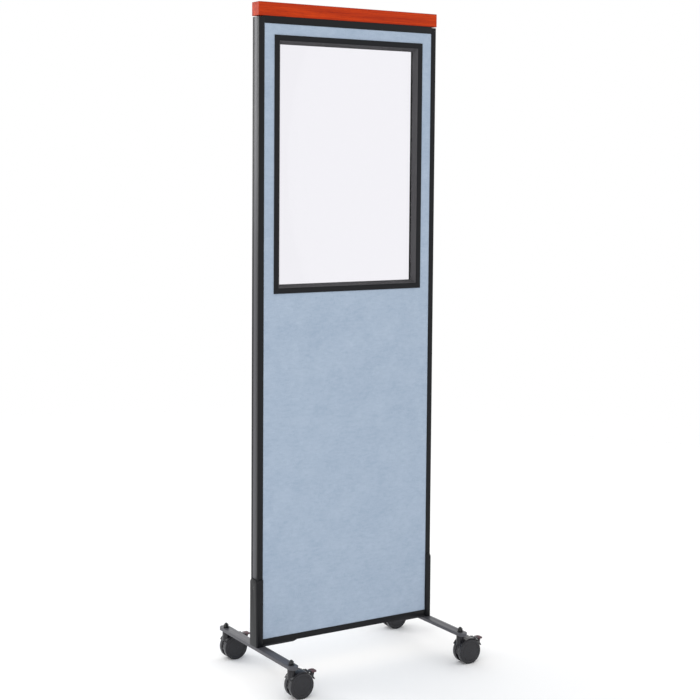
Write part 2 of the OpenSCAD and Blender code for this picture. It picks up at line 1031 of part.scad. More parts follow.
// Brake lever at rest: paddle outwards, shoe hanging clear of the treads
module brake_lever() {
    shoe_in = wheel_r + turn_gap;
    pad_from = ear_r + 5;
    pad_l = paddle_reach - pin_x;
    cheek_in = 6;
    cheek_out = 8.5;
    color(MAROON)
        at_wheel_axis()
            at_brake_pin() {
                side_plate(-lever_hub_half, lever_hub_half)
                    lever_profile(shoe_in, pad_from);
                rotate([0, -brake_turn, 0])
                    translate([-pin_x, 0, -pin_z])
                        side_plate(-shoe_half, shoe_half)
                            flat_sector(shoe_in, shoe_in + shoe_t, shoe_from, shoe_to);
                for (side = [0, 1])
                    mirror([0, side, 0])
                        side_plate(cheek_in, cheek_out)
                            lever_cheek(shoe_in + shoe_t / 2, pad_from, pad_l);
                translate([0, 0, paddle_top - paddle_t])
                    linear_extrude(paddle_t)
                        paddle_outline(pad_from, pad_l);
                for (i = [1 : 3])
                    translate([pad_l - 2 - i * rib_pitch, 0, paddle_top])
                        y_cylinder(rib_r, 3 - paddle_half, paddle_half - 3);
            }
}

// Side view of the lever's middle: hub, neck down to the shoe, root of the paddle
module lever_profile(shoe_in, pad_from) {
    skin = 0.3;
    difference() {
        union() {
            circle(lever_hub_r);
            rotate(brake_turn)
                translate([-pin_x, -pin_z])
                    flat_sector(
                        shoe_in + skin, pin_from_axis - 1,
                        shoe_to - 3, pin_angle - 1
                    );
            translate([0, paddle_top - paddle_t + skin])
                square([pad_from + 2, paddle_t - 2 * skin]);
        }
        circle(pin_r + run_gap);
    }
}

// Point on the resting shoe, seen from the brake pin; the angle is the locked shoe's
function shoe_point(r, angle) =
    let (x = r * cos(angle) - pin_x, z = r * sin(angle) - pin_z)
    [
        x * cos(brake_turn) - z * sin(brake_turn),
        x * sin(brake_turn) + z * cos(brake_turn)
    ];

// Side view of the cheek that stiffens the lever between its shoe and its paddle
module lever_cheek(shoe_mid, pad_from, pad_l) {
    top_z = paddle_top - paddle_t / 2;
    polygon([
        [pad_from + 1, top_z],
        [pad_l - paddle_corner - 1, top_z],
        shoe_point(shoe_mid, shoe_from + 3),
        shoe_point(shoe_mid, shoe_to - 6)
    ]);
}

// Plan of the paddle, with its outer corners rounded
module paddle_outline(x0, x1) {
    block_half = paddle_half - paddle_corner;
    translate([x0, -paddle_half])
        square([x1 - x0 - paddle_corner, 2 * paddle_half]);
    translate([x0, -block_half])
        square([x1 - x0, 2 * block_half]);
    for (side = [-1, 1])
        translate([x1 - paddle_corner, side * block_half])
            circle(paddle_corner);
}

// ---- Nodes ----

top_cap();
cap_screws();
top_rail();
bottom_rail();
stile(-1);  // left_stile
stile(1);  // right_stile
end_trim(-1);  // left_end_trim
end_trim(1);  // right_end_trim
corner_brackets();
frame_screws();
fabric_panel(-1);  // front_fabric_panel
fabric_panel(1);  // rear_fabric_panel
honeycomb_core();
inner_stud(-1);  // left_inner_stud
inner_stud(1);  // right_inner_stud
window_head_batten();
window_sill_batten();
window_pane();
gasket(-1);  // front_gasket
gasket(1);  // rear_gasket
level_bar(-1, true);  // front_window_top_bar
level_bar(-1, false);  // front_window_bottom_bar
upright_bar(-1, -1);  // front_window_left_bar
upright_bar(-1, 1);  // front_window_right_bar
level_bar(1, true);  // rear_window_top_bar
level_bar(1, false);  // rear_window_bottom_bar
upright_bar(1, -1);  // rear_window_left_bar
upright_bar(1, 1);  // rear_window_right_bar
sleeve(-1);  // left_sleeve
sleeve(1);  // right_sleeve
leg(-1);  // left_leg
leg(1);  // right_leg
base_plate(-1);  // left_base_plate
base_plate(1);  // right_base_plate
sleeve_screws();
base_bolts();
caster_stems();
stem_washers();
stem_nuts();
for (c = CORNERS) {
    at_caster(c) caster_hood();
    at_caster(c) caster_pins();
    at_caster(c) mirror([0, 1, 0]) caster_wheel();
    at_caster(c) caster_wheel();
    at_caster(c) brake_lever();
}
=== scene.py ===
# %% [markdown]
# # A mobile partition wall
#
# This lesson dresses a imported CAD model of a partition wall: a fabric-covered panel with a window,
# a black metal edge frame, a stained cherry cap, and two steel feet on twin-wheel casters.
# The CAD model fixes every place and size. Here we give each piece its finish, and rebuild those
# that a plain solid can't show, such as wrapped fabric, mitred trim with soft edges and turned wheels.
#
# Everything is in metres. +X runs along the wall, the front faces -Y, and +Z is up.

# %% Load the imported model
import math

import bmesh
import bpy
from mathutils import Matrix, Vector


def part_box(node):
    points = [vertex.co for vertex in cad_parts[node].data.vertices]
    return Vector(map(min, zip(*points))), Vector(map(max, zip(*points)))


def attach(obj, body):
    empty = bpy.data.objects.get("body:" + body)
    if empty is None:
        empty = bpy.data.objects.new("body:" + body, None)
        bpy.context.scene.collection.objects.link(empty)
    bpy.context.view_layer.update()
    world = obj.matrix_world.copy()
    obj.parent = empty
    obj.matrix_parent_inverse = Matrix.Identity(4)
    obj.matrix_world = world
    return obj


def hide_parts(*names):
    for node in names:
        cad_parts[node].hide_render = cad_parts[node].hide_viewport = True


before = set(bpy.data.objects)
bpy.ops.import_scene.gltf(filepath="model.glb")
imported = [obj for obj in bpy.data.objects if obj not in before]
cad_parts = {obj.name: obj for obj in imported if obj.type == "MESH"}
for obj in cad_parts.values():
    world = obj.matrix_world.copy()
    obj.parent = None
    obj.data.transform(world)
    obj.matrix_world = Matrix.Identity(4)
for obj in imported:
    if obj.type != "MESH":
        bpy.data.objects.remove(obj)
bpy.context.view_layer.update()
wall_middle = (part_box("top_cap")[0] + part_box("top_cap")[1]) / 2
print("wall middle at x =", round(wall_middle.x, 4))

# %% [markdown]
# ## Shader maths in plain Python
#
# A finish is a small network of nodes. Wiring maths nodes by hand hides the idea, so one class wraps
# a socket and turns `+`, `-` and `*` into Math nodes. A second class holds one material:
# its shader, whose fixed values are set on its own sockets, and one method that adds any other node.

# %% A socket that does maths
class Flow:
    """One number or colour on its way through a material."""

    def __init__(self, finish, socket):
        self.finish = finish
        self.socket = socket

    def maths(self, operation, first, second):
        return self.finish.add("Math", {"operation": operation}, {0: first, 1: second})

    def __add__(self, other):
        return self.maths("ADD", self, other)

    def __sub__(self, other):
        return self.maths("SUBTRACT", self, other)

    def __rsub__(self, other):
        return self.maths("SUBTRACT", other, self)

    def __mul__(self, other):
        return self.maths("MULTIPLY", self, other)

    __radd__ = __add__
    __rmul__ = __mul__

    def bounded(self, low=0.0, high=1.0):
        return self.finish.add("Clamp", {}, {"Value": self, "Min": low, "Max": high})


# %% A material that hands out flows
class Finish:
    """One material: a Principled shader, and the nodes that feed it."""

    def __init__(self, name, **fixed):
        self.material = bpy.data.materials.new(name)
        self.material.use_nodes = True
        self.tree = self.material.node_tree
        self.tree.nodes.clear()
        self.output = self.tree.nodes.new("ShaderNodeOutputMaterial")
        self.shader = self.tree.nodes.new("ShaderNodeBsdfPrincipled")
        self.tree.links.new(self.shader.outputs[0], self.output.inputs[0])
        for socket, value in fixed.items():
            self.shader.inputs[socket.replace("_", " ")].default_value = value

    def plug(self, socket, value):
        if isinstance(value, Flow):
            self.tree.links.new(value.socket, socket)
        elif isinstance(value, (tuple, list)) and len(value) == 3 and socket.type == "RGBA":
            socket.default_value = (*value, 1.0)
        else:
            socket.default_value = value

    def add(self, kind, settings, inputs, output=0):
        node = self.tree.nodes.new("ShaderNode" + kind)
        for name, value in settings.items():
            if name == "stops":
                for stop, (place, colour) in zip(node.color_ramp.elements, value):
                    stop.position, stop.color = place, (*colour, 1.0)
            else:
                setattr(node, name, value)
        for name, value in inputs.items():
            self.plug(node.inputs[name], value)
        return Flow(self, node.outputs[output])

    def feed(self, socket, value):
        self.plug(self.shader.inputs[socket], value)

    def place(self):
        """Where a point lies on the object, in metres."""
        return self.add("TexCoord", {}, {}, output="Object")

    def stretched(self, scale, turn=(0.0, 0.0, 0.0)):
        return self.add("Mapping", {}, {"Vector": self.place(), "Scale": scale, "Rotation": turn})

    def noise(self, scale, detail=3.0, roughness=0.55, where=None):
        where = where or self.place()
        sockets = {"Vector": where, "Scale": scale, "Detail": detail, "Roughness": roughness}
        return self.add("TexNoise", {}, sockets)

    def blend(self, share, low, high):
        """Mixes two colours."""
        return self.add("Mix", {"data_type": "RGBA"}, {0: share, 6: low, 7: high}, output=2)

    def remap(self, value, low, high, to_low, to_high):
        sockets = {"Value": value, "From Min": low, "From Max": high, "To Min": to_low, "To Max": to_high}
        return self.add("MapRange", {}, sockets)

    def relief(self, height, depth, under=None):
        """Bumps the surface; depth is how deep a full step of height is, in metres."""
        sockets = {"Height": height, "Distance": depth, "Strength": 1.0}
        if under:
            sockets["Normal"] = under
        bumped = self.add("Bump", {}, sockets)
        self.feed("Normal", bumped)
        return bumped

    def edge_wear_and_shade(self):
        """1 on a rounded edge, 0 on a face; the mesh stores it as it is bevelled."""
        return self.add("Attribute", {"attribute_name": "edge"}, {}, output="Fac")


def linear(red, green, blue):
    """An everyday 0-255 colour as the linear values that a shader works in."""
    def channel(value):
        value /= 255
        return value / 12.92 if value <= 0.04045 else ((value + 0.055) / 1.055) ** 2.4
    return (channel(red), channel(green), channel(blue))


# %% [markdown]
# ## Upholstery fabric
#
# The panels wear a pale blue melange: yarns spun from lighter and darker fibres, in a plain weave
# about one millimetre from yarn to yarn. The weave is two sine waves: where their product is positive
# the upright yarn lies on top, elsewhere the level one does. Long thin noise along each yarn gives
# the melange, and slow noise gives the faint clouds that a wide stretch of such cloth always has.

# %% Fabric
YARN_PITCH = 0.0011


def woven_fabric():
    finish = Finish("blue_melange_fabric", Sheen_Weight=0.25, Sheen_Roughness=0.45, Specular_IOR_Level=0.2)
    split = finish.place()
    parts = [finish.add("SeparateXYZ", {}, {0: split}, output=i) for i in (0, 2)]
    turns = math.pi / YARN_PITCH
    across = finish.add("Math", {"operation": "SINE"}, {0: parts[0] * turns})
    upward = finish.add("Math", {"operation": "SINE"}, {0: parts[1] * turns})
    upright_on_top = (across * upward * 2.5 + 0.5).bounded()
    upright_yarn = finish.add("Math", {"operation": "ABSOLUTE"}, {0: across})
    level_yarn = finish.add("Math", {"operation": "ABSOLUTE"}, {0: upward})
    height = upright_on_top * upright_yarn + (1 - upright_on_top) * level_yarn
    upright_fibre = finish.noise(1.0, 2.0, where=finish.stretched((900, 900, 60)))
    level_fibre = finish.noise(1.0, 2.0, where=finish.stretched((60, 900, 900)))
    fibre = upright_on_top * upright_fibre + (1 - upright_on_top) * level_fibre
    streaks = finish.noise(1.0, 4.0, 0.6, where=finish.stretched((40, 40, 120)))
    clouds = finish.noise(16.0, 3.0)
    tone = (fibre * 0.75 + streaks * 0.35 + clouds * 0.3 - 0.2).bounded()
    pale = linear(198, 211, 226)
    deep = linear(126, 147, 172)
    # the valleys between yarns get painted shade: the colour blends towards a darker blue where the weave
    # is low
    valley_shaded = finish.blend(finish.remap(height, 0.0, 0.9, 0.35, 0.0), finish.blend(tone, deep, pale),
                          linear(98, 118, 142))
    finish.feed("Base Color", valley_shaded)
    finish.feed("Roughness", finish.remap(fibre, 0.3, 0.7, 0.95, 0.8))
    finish.relief(height * 0.7 + fibre * 0.3, 0.00022)
    return finish.material


fabric = woven_fabric()
print("finish:", fabric.name)

# %% [markdown]
# ## Powder coat
#
# The frame, the window trim and the feet are sprayed with dry powder and baked. The film flows into
# a faint orange peel with fine texture in it, rounds every edge, and wears thin and shiny there first.
# One recipe serves every colour; gloss is how strongly the film mirrors.

# %% Powder coats
def powder_coat(name, colour, worn, roughness, peel, gloss=0.3):
    finish = Finish(name, Specular_IOR_Level=gloss)
    fine = finish.noise(2600.0, 2.0)
    peel_waves = finish.noise(420.0, 1.0)
    smudges = finish.noise(5.0, 3.0, 0.5)
    edge = finish.edge_wear_and_shade() * finish.remap(finish.noise(70.0, 4.0, 0.7), 0.42, 0.62, 0.1, 1.0)
    tint = finish.blend(smudges, tuple(c * 0.93 for c in colour), tuple(c * 1.07 for c in colour))
    finish.feed("Base Color", finish.blend(edge * 0.5, tint, worn))
    finish.feed("Roughness", (roughness + smudges * 0.08 - 0.04 - edge * 0.1).bounded())
    finish.relief(fine * 0.35 + peel_waves, peel)
    return finish.material


FINE_PEEL = 0.00002
COARSE_PEEL = 0.00004
LOW_GLOSS = 0.2
frame_black = powder_coat("frame_powder_black", linear(18, 19, 22), linear(74, 75, 80), 0.38,
                          FINE_PEEL, LOW_GLOSS)
trim_charcoal = powder_coat("trim_powder_charcoal", linear(18, 19, 23), linear(96, 98, 104), 0.35,
                            FINE_PEEL, LOW_GLOSS)
# a lighter copy of the trim's black: painted light for the slope that faces the lamps
slope_painted_light = powder_coat("trim_slope_painted_light", linear(70, 69, 72), linear(120, 120, 124), 0.4,
                             FINE_PEEL)
# a lighter copy of the frame's black: painted sheen for the end faces, which face the left lamp
strip_painted_sheen = powder_coat("end_strip_painted_sheen", linear(72, 72, 77), linear(112, 112, 118), 0.38,
                             FINE_PEEL)
foot_charcoal = powder_coat("foot_powder_charcoal", linear(34, 34, 38), linear(88, 88, 93), 0.42,
                            COARSE_PEEL)
leg_grey = powder_coat("leg_powder_grey", linear(74, 74, 79), linear(120, 120, 126), 0.34, COARSE_PEEL)
COATS = (frame_black, trim_charcoal, slope_painted_light, strip_painted_sheen, foot_charcoal, leg_grey)
print("finishes:", *(coat.name for coat in COATS))

# %% [markdown]
# ## Stained cherry
#
# The cap is a solid cherry strip in a strong orange-red stain under satin lacquer. Wood grain is
# noise pulled long in one direction: slow bands for the year rings, thin streaks for the fibres,
# and short dark dashes for the pores. The eased edges are painted darker, as painted shade along
# the edges. The lacquer is a thin clear coat that is rubbed down, so it stays satin.

# %% Wood recipes
def wood(name, pale, deep, along, coat, roughness, gloss):
    """along is the axis that the grain follows: 0 for X, 2 for Z."""
    finish = Finish(name, Coat_Roughness=0.3, Specular_IOR_Level=gloss)
    finish.shader.inputs["Coat Weight"].default_value = coat
    def pulled(cross, length):
        return finish.stretched(tuple(length if axis == along else cross for axis in range(3)))
    wander = finish.noise(1.0, 3.0, where=pulled(30, 2.2))
    bands = finish.add("TexNoise", {}, {"Vector": pulled(110, 1.6), "Scale": 1.0, "Detail": 5.0,
                                        "Roughness": 0.6, "Distortion": 0.8})
    fibres = finish.noise(1.0, 3.0, 0.7, where=pulled(1400, 26))
    pores = finish.remap(finish.noise(1.0, 2.0, 0.6, where=pulled(900, 55)), 0.6, 0.68, 0.0, 1.0)
    tone = finish.remap(bands * 0.6 + wander * 0.25 + fibres * 0.3, 0.42, 0.72, 0.0, 1.0)
    dark = tuple(c * 0.4 for c in deep)
    stained = finish.blend(tone, deep, pale)
    # the pores darken for real; the edge mark adds painted shade along the eased edges
    pores_and_edge_shade = (pores * 0.4 + finish.edge_wear_and_shade() * 0.6).bounded()
    finish.feed("Base Color", finish.blend(pores_and_edge_shade, stained, dark))
    finish.feed("Roughness", (roughness + fibres * 0.12 + pores * 0.1).bounded())
    finish.relief(fibres * 0.5 - pores * 0.5, 0.00006)
    return finish.material


PINE = (linear(222, 196, 150), linear(186, 148, 98))
cherry = wood("stained_cherry", linear(208, 66, 8), linear(128, 18, 6), 0, 0.02, 0.42, 0.12)
softwood_upright = wood("softwood_upright", *PINE, 2, 0.0, 0.6, 0.3)
softwood_level = wood("softwood_level", *PINE, 0, 0.0, 0.6, 0.3)
print("finishes:", cherry.name, softwood_upright.name, softwood_level.name)

# %% [markdown]
# ## Pressed board, paper and rubber
#
# Under the fabric sit pressed fibreboards, and between them a paper honeycomb. They are hidden, but
# a cut-away view shows them. The pane sits between soft black rubber gaskets.

# %% Board, paper and rubber
def pressed_board():
    finish = Finish("pressed_fibreboard", Roughness=0.9)
    flecks = finish.noise(300.0, 4.0, 0.7)
    finish.feed("Base Color", finish.blend(flecks, linear(126, 96, 66), linear(176, 146, 108)))
    finish.relief(flecks, 0.0002)
    return finish.material


def kraft_paper():
    finish = Finish("kraft_paper", Roughness=0.85)
    pulp = finish.noise(1.0, 4.0, 0.7, where=finish.stretched((240, 240, 700)))
    finish.feed("Base Color", finish.blend(pulp, linear(158, 124, 84), linear(206, 176, 132)))
    finish.relief(pulp, 0.0001)
    return finish.material


def soft_rubber():
    finish = Finish("black_rubber", Specular_IOR_Level=0.35)
    bloom = finish.noise(45.0, 5.0, 0.7)
    finish.feed("Base Color", finish.blend(bloom, linear(18, 18, 19), linear(40, 40, 42)))
    finish.feed("Roughness", finish.remap(bloom, 0.3, 0.7, 0.62, 0.82))
    finish.relief(finish.noise(1500.0, 2.0), 0.00003)
    return finish.material


board_brown = pressed_board()
paper_brown = kraft_paper()
rubber_black = soft_rubber()
print("finishes:", board_brown.name, paper_brown.name, rubber_black.name)

# %% [markdown]
# ## Clear pane
#
# Acrylic bends light a little less than window glass. Its surface is polished, with a trace of wiping
# marks that only roughness shows.

# %% Acrylic
def clear_acrylic():
    finish = Finish("clear_acrylic", Transmission_Weight=1.0, IOR=1.3)
    finish.feed("Base Color", linear(243, 242, 247))
    wiped = finish.noise(1.0, 3.0, where=finish.stretched((3, 3, 14)))
    finish.feed("Roughness", finish.remap(wiped, 0.35, 0.75, 0.0, 0.03))
    return finish.material


acrylic = clear_acrylic()
print("finish:", acrylic.name)

# %% [markdown]
# ## Zinc-plated steel
#
# Hidden screws, bolts, brackets and axles are bright zinc: metal with a slightly blue, cloudy film
# that varies in gloss more than in colour. The stems, nuts, washers and sleeve screws, which show,
# are passivated black.

# %% Zinc
def zinc_plate(name, dark, bright):
    finish = Finish(name, Metallic=1.0)
    film = finish.noise(160.0, 4.0, 0.65)
    scratches = finish.noise(1.0, 2.0, where=finish.stretched((2200, 2200, 180)))
    finish.feed("Base Color", finish.blend(film, dark, bright))
    finish.feed("Roughness", finish.remap(film * 0.6 + scratches * 0.4, 0.3, 0.7, 0.2, 0.42))
    finish.relief(scratches, 0.00001)
    return finish.material


zinc = zinc_plate("zinc_plated_steel", linear(176, 180, 186), linear(222, 222, 216))
black_zinc = zinc_plate("black_zinc_steel", linear(50, 50, 54), linear(84, 84, 82))
print("finishes:", zinc.name, black_zinc.name)

# %% [markdown]
# ## Moulded plastic
#
# The caster hoods, wheels and brake levers are nylon, moulded with a fine spark-eroded grain.
# Wheels pick up dust and scuffs where they roll, so the tread gets its own mask from the mesh,
# as the rounded edges do.

# %% Nylon
def moulded_nylon(name, colour, scuffed, roughness):
    finish = Finish(name, Specular_IOR_Level=0.36)
    grain = finish.add("TexVoronoi", {}, {"Vector": finish.place(), "Scale": 1600.0})
    cloudy = finish.noise(60.0, 4.0, 0.6)
    scuffs = finish.remap(finish.noise(220.0, 5.0, 0.75), 0.48, 0.62, 0.0, 1.0)
    rubbed = (finish.edge_wear_and_shade() * (0.35 + scuffs * 0.65)).bounded()
    tint = finish.blend(cloudy, tuple(c * 0.85 for c in colour), tuple(c * 1.15 for c in colour))
    finish.feed("Base Color", finish.blend(rubbed * 0.5, tint, scuffed))
    finish.feed("Roughness", (roughness + cloudy * 0.1 + rubbed * 0.12 - 0.05).bounded())
    finish.relief(grain * 0.6 + scuffs * 0.2, 0.00003)
    return finish.material


nylon_black = moulded_nylon("black_nylon", linear(34, 34, 38), linear(78, 78, 82), 0.24)
nylon_maroon = moulded_nylon("maroon_nylon", linear(84, 58, 63), linear(126, 102, 104), 0.4)
print("finishes:", nylon_black.name, nylon_maroon.name)

# %% [markdown]
# ## From points to a piece
#
# Every piece made here goes through one function. It makes the mesh, turns all faces outwards, shades
# smooth across gentle angles but keeps real edges crisp, and ties the piece to its CAD body.
# Sections are drawn with sharp corners and a radius for each, then rounded in one step, just as
# a draughtsperson fillets a corner.

# %% Piece maker
def finish_piece(name, mesh_maker, finish, stands_for, body, smooth=32):
    mesh = bpy.data.meshes.new(name)
    bmesh.ops.recalc_face_normals(mesh_maker, faces=mesh_maker.faces)
    mesh_maker.to_mesh(mesh)
    mesh_maker.free()
    mesh.shade_smooth()
    mesh.set_sharp_from_angle(angle=math.radians(smooth))
    mesh.materials.append(finish)
    piece = bpy.data.objects.new(name, mesh)
    bpy.context.scene.collection.objects.link(piece)
    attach(piece, body)
    if stands_for:
        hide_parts(*stands_for)
    return piece


def filleted(corners, steps=4):
    """Corners are (x, y, radius); each with a radius becomes a short arc."""
    points = []
    for i, (x, y, radius) in enumerate(corners):
        here = Vector((x, y))
        if radius == 0:
            points.append((x, y))
            continue
        before = (Vector(corners[i - 1][:2]) - here).normalized()
        after = (Vector(corners[(i + 1) % len(corners)][:2]) - here).normalized()
        half = before.angle(after) / 2
        centre = here + (before + after).normalized() * (radius / math.sin(half))
        start = here + before * (radius / math.tan(half)) - centre
        end = here + after * (radius / math.tan(half)) - centre
        sweep = start.angle_signed(end)
        for k in range(steps + 1):
            turned = start.copy()
            turned.rotate(Matrix.Rotation(-sweep * k / steps, 2))
            points.append(tuple(centre + turned))
    return points


# %% [markdown]
# ## Skins between rings
#
# Most made things are a row of similar outlines with a skin between them: an extrusion has two,
# an edge rounded over has a few more. This helper joins any row of equal rings and closes the ends.

# %% Rings to mesh
def skin(rings, closed_ends=True, edge_rings=()):
    """Rings are equal lists of points; edge_rings are marked as eased edges, which the cap's finish
    darkens as painted shade.
    """
    maker = bmesh.new()
    worn = maker.verts.layers.float.new("edge")
    made = [[maker.verts.new(point) for point in ring] for ring in rings]
    for i in edge_rings:
        for vertex in made[i]:
            vertex[worn] = 1.0
    count = len(rings[0])
    for low, high in zip(made, made[1:]):
        for k in range(count):
            maker.faces.new((low[k], low[(k + 1) % count], high[(k + 1) % count], high[k]))
    if closed_ends:
        maker.faces.new(made[0][::-1])
        maker.faces.new(made[-1])
    return maker


def inset_outline(outline, centre, amount):
    """Moves each point of a rounded outline straight inwards along its own normal."""
    moved = []
    for i, point in enumerate(outline):
        here = Vector(point)
        along = Vector(outline[(i + 1) % len(outline)]) - Vector(outline[i - 1])
        normal = Vector((along.y, -along.x)).normalized()
        if (here - Vector(centre)).dot(normal) > 0:
            normal = -normal
        moved.append(tuple(here + normal * amount))
    return moved


# %% [markdown]
# ## The cap
#
# A cherry strip lies along the top edge, a little wider than the frame, with its upright corners
# rounded like the frame's. Its edges are broken with sandpaper, and painted shade darkens them.

# %% Build the cap
def rounded_slab(name, node, corner, ease, finish, body):
    low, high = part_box(node)
    outline = filleted([(low.x, low.y, corner), (high.x, low.y, corner),
                        (high.x, high.y, corner), (low.x, high.y, corner)], 10)
    middle = ((low.x + high.x) / 2, (low.y + high.y) / 2)
    profile = []
    for k in range(5):
        turn = math.radians(90 * k / 4)
        profile.append((ease * (1 - math.sin(turn)), low.z + ease * (1 - math.cos(turn))))
    profile += [(inward, low.z + high.z - height) for inward, height in reversed(profile)]
    # these rings are marked, and the cherry darkens them as painted edge shade
    inside_each_arc = [1, 2, 3, 6, 7, 8]
    rings = [[(x, y, height) for x, y in inset_outline(outline, middle, inward)]
             for inward, height in profile]
    return finish_piece(name, skin(rings, edge_rings=inside_each_arc), finish, [node], body)


cap = rounded_slab("cherry_cap", "top_cap", 0.003, 0.0014, cherry, "wall")
print("cap:", len(cap.data.polygons), "faces")

# %% [markdown]
# ## Fabric-wrapped boards
#
# Each face of the wall is a board with cloth pulled tight round it and stapled behind, also through
# the window's cut-out. The cloth is one sheet, so we model it as one: a grid over the face, drawn
# over the edges in a small arc, down the side, and 20 mm onto the back. Pulled cloth isn't dead
# flat, so the grid moves in and out by a tenth of a millimetre or two. The sheet has its own thickness.

# %% Cloth measures
CLOTH = 0.0008
CLOTH_ROUND = 0.0014
TURN_UNDER = 0.020
SUNK = 0.0002        # how far the cloth's face lies inside the board's nominal face
RIPPLE = 0.00006
FADE = 0.04          # the ripple fades out this close to an edge


def grid_stops(low, high, step):
    count = max(1, round((high - low) / step))
    return [low + (high - low) * i / count for i in range(count + 1)]


def wrap_path(depth):
    """How the cloth runs over an edge: (outwards, down from the face) from where it starts to bend."""
    path = []
    for k in range(1, 7):
        turn = math.radians(90 * k / 6)
        path.append((CLOTH_ROUND * math.sin(turn), CLOTH_ROUND * (1 - math.cos(turn))))
    path.append((CLOTH_ROUND, depth - 0.0012))
    path.append((CLOTH_ROUND - 0.0004, depth - 0.0003))
    path.append((CLOTH_ROUND - 0.0012, depth))
    path.append((CLOTH_ROUND - TURN_UNDER, depth))
    return path


# %% [markdown]
# The wave in the cloth is a sum of a few slow sines, fixed by position so that it is the same
# every time, and it fades out towards the edges where the cloth is held.

# %% Stretch the cloth
def slack_wave(x, z, nearest_edge):
    wave = math.sin(x * 23.0 + z * 4.1) + math.sin(z * 17.0 - x * 6.3 + 1.7)
    wave += math.sin(x * 47 + z * 31 + 0.6)
    return RIPPLE * wave * min(1.0, nearest_edge / FADE)


def wrapped_cloth(side, face_y, back_y, outer, window):
    """outer and window are (low x, low z, high x, high z); side is -1 at the front."""
    maker = bmesh.new()
    bend = CLOTH_ROUND
    flat = (outer[0] + bend, outer[1] + bend, outer[2] - bend, outer[3] - bend)
    hole = (window[0] - bend, window[1] - bend, window[2] + bend, window[3] + bend)
    xs = grid_stops(flat[0], hole[0], 0.012)[:-1] + grid_stops(hole[0], hole[2], 0.016)
    xs += grid_stops(hole[2], flat[2], 0.012)[1:]
    zs = grid_stops(flat[1], hole[1], 0.016)[:-1] + grid_stops(hole[1], hole[3], 0.016)
    zs += grid_stops(hole[3], flat[3], 0.012)[1:]

    def in_hole(x, z):
        return hole[0] - 1e-6 < x < hole[2] + 1e-6 and hole[1] - 1e-6 < z < hole[3] + 1e-6

    def strictly_in_hole(x, z):
        return hole[0] + 1e-6 < x < hole[2] - 1e-6 and hole[1] + 1e-6 < z < hole[3] - 1e-6

    spots = {}
    for i, x in enumerate(xs):
        for k, z in enumerate(zs):
            if strictly_in_hole(x, z):
                continue
            to_outer = min(x - flat[0], flat[2] - x, z - flat[1], flat[3] - z)
            beside = max(hole[0] - x, x - hole[2], hole[1] - z, z - hole[3])
            sunk = SUNK + slack_wave(x, z, min(to_outer, beside))
            spots[i, k] = maker.verts.new((x, face_y - side * sunk, z))
    for i in range(len(xs) - 1):
        for k in range(len(zs) - 1):
            middle = ((xs[i] + xs[i + 1]) / 2, (zs[k] + zs[k + 1]) / 2)
            if not in_hole(*middle):
                maker.faces.new((spots[i, k], spots[i + 1, k], spots[i + 1, k + 1], spots[i, k + 1]))

    depth = abs(back_y - face_y) - SUNK

    def border(i0, i1, k0, k1):
        keys = [(i, k0) for i in range(i0, i1)] + [(i1, k) for k in range(k0, k1)]
        return keys + [(i, k1) for i in range(i1, i0, -1)] + [(i0, k) for k in range(k1, k0, -1)]

    def wrap(keys, i0, i1, k0, k1, sign):
        last = [spots[key] for key in keys]
        for out, down in wrap_path(depth):
            ring = []
            for i, k in keys:
                x = xs[i] + sign * out * ((i == i1) - (i == i0))
                z = zs[k] + sign * out * ((k == k1) - (k == k0))
                ring.append(maker.verts.new((x, face_y - side * (SUNK + down), z)))
            for n in range(len(keys)):
                m = (n + 1) % len(keys)
                maker.faces.new((last[n], last[m], ring[m], ring[n]))
            last = ring

    far_i, far_k = len(xs) - 1, len(zs) - 1
    wrap(border(0, far_i, 0, far_k), 0, far_i, 0, far_k, 1)
    hole_i = [i for i, x in enumerate(xs) if abs(x - hole[0]) < 1e-9 or abs(x - hole[2]) < 1e-9]
    hole_k = [k for k, z in enumerate(zs) if abs(z - hole[1]) < 1e-9 or abs(z - hole[3]) < 1e-9]
    wrap(border(*hole_i, *hole_k), *hole_i, *hole_k, -1)
    return maker


# %% [markdown]
# The sheet gets its thickness inwards, from a Solidify modifier that is applied at once. The board
# is a plain plate with the same cut-out and eased edges, one cloth's thickness smaller all round.

# %% Thickness and boards
def thicken(piece, thickness):
    modifier = piece.modifiers.new("cloth thickness", "SOLIDIFY")
    modifier.thickness = thickness
    modifier.offset = -1.0
    seen = piece.evaluated_get(bpy.context.evaluated_depsgraph_get())
    piece.data = bpy.data.meshes.new_from_object(seen)
    piece.modifiers.clear()


def plate_with_window(outer, window, y_low, y_high):
    """A closed plate in the XZ plane with a rectangular hole."""
    def rectangle(limits, y, ease):
        x0, z0, x1, z1 = limits
        return [(x0 + ease, y, z0 + ease), (x1 - ease, y, z0 + ease),
                (x1 - ease, y, z1 - ease), (x0 + ease, y, z1 - ease)]
    ease = 0.0006
    steps = [(y_low, ease), (y_low + ease, 0.0), (y_high - ease, 0.0), (y_high, ease)]
    rings = [rectangle(outer, y, e) for y, e in steps]
    rings += [rectangle(window, y, -e) for y, e in reversed(steps)]
    rings.append(rings[0])
    maker = skin(rings, closed_ends=False)
    bmesh.ops.remove_doubles(maker, verts=maker.verts, dist=1e-6)
    return maker


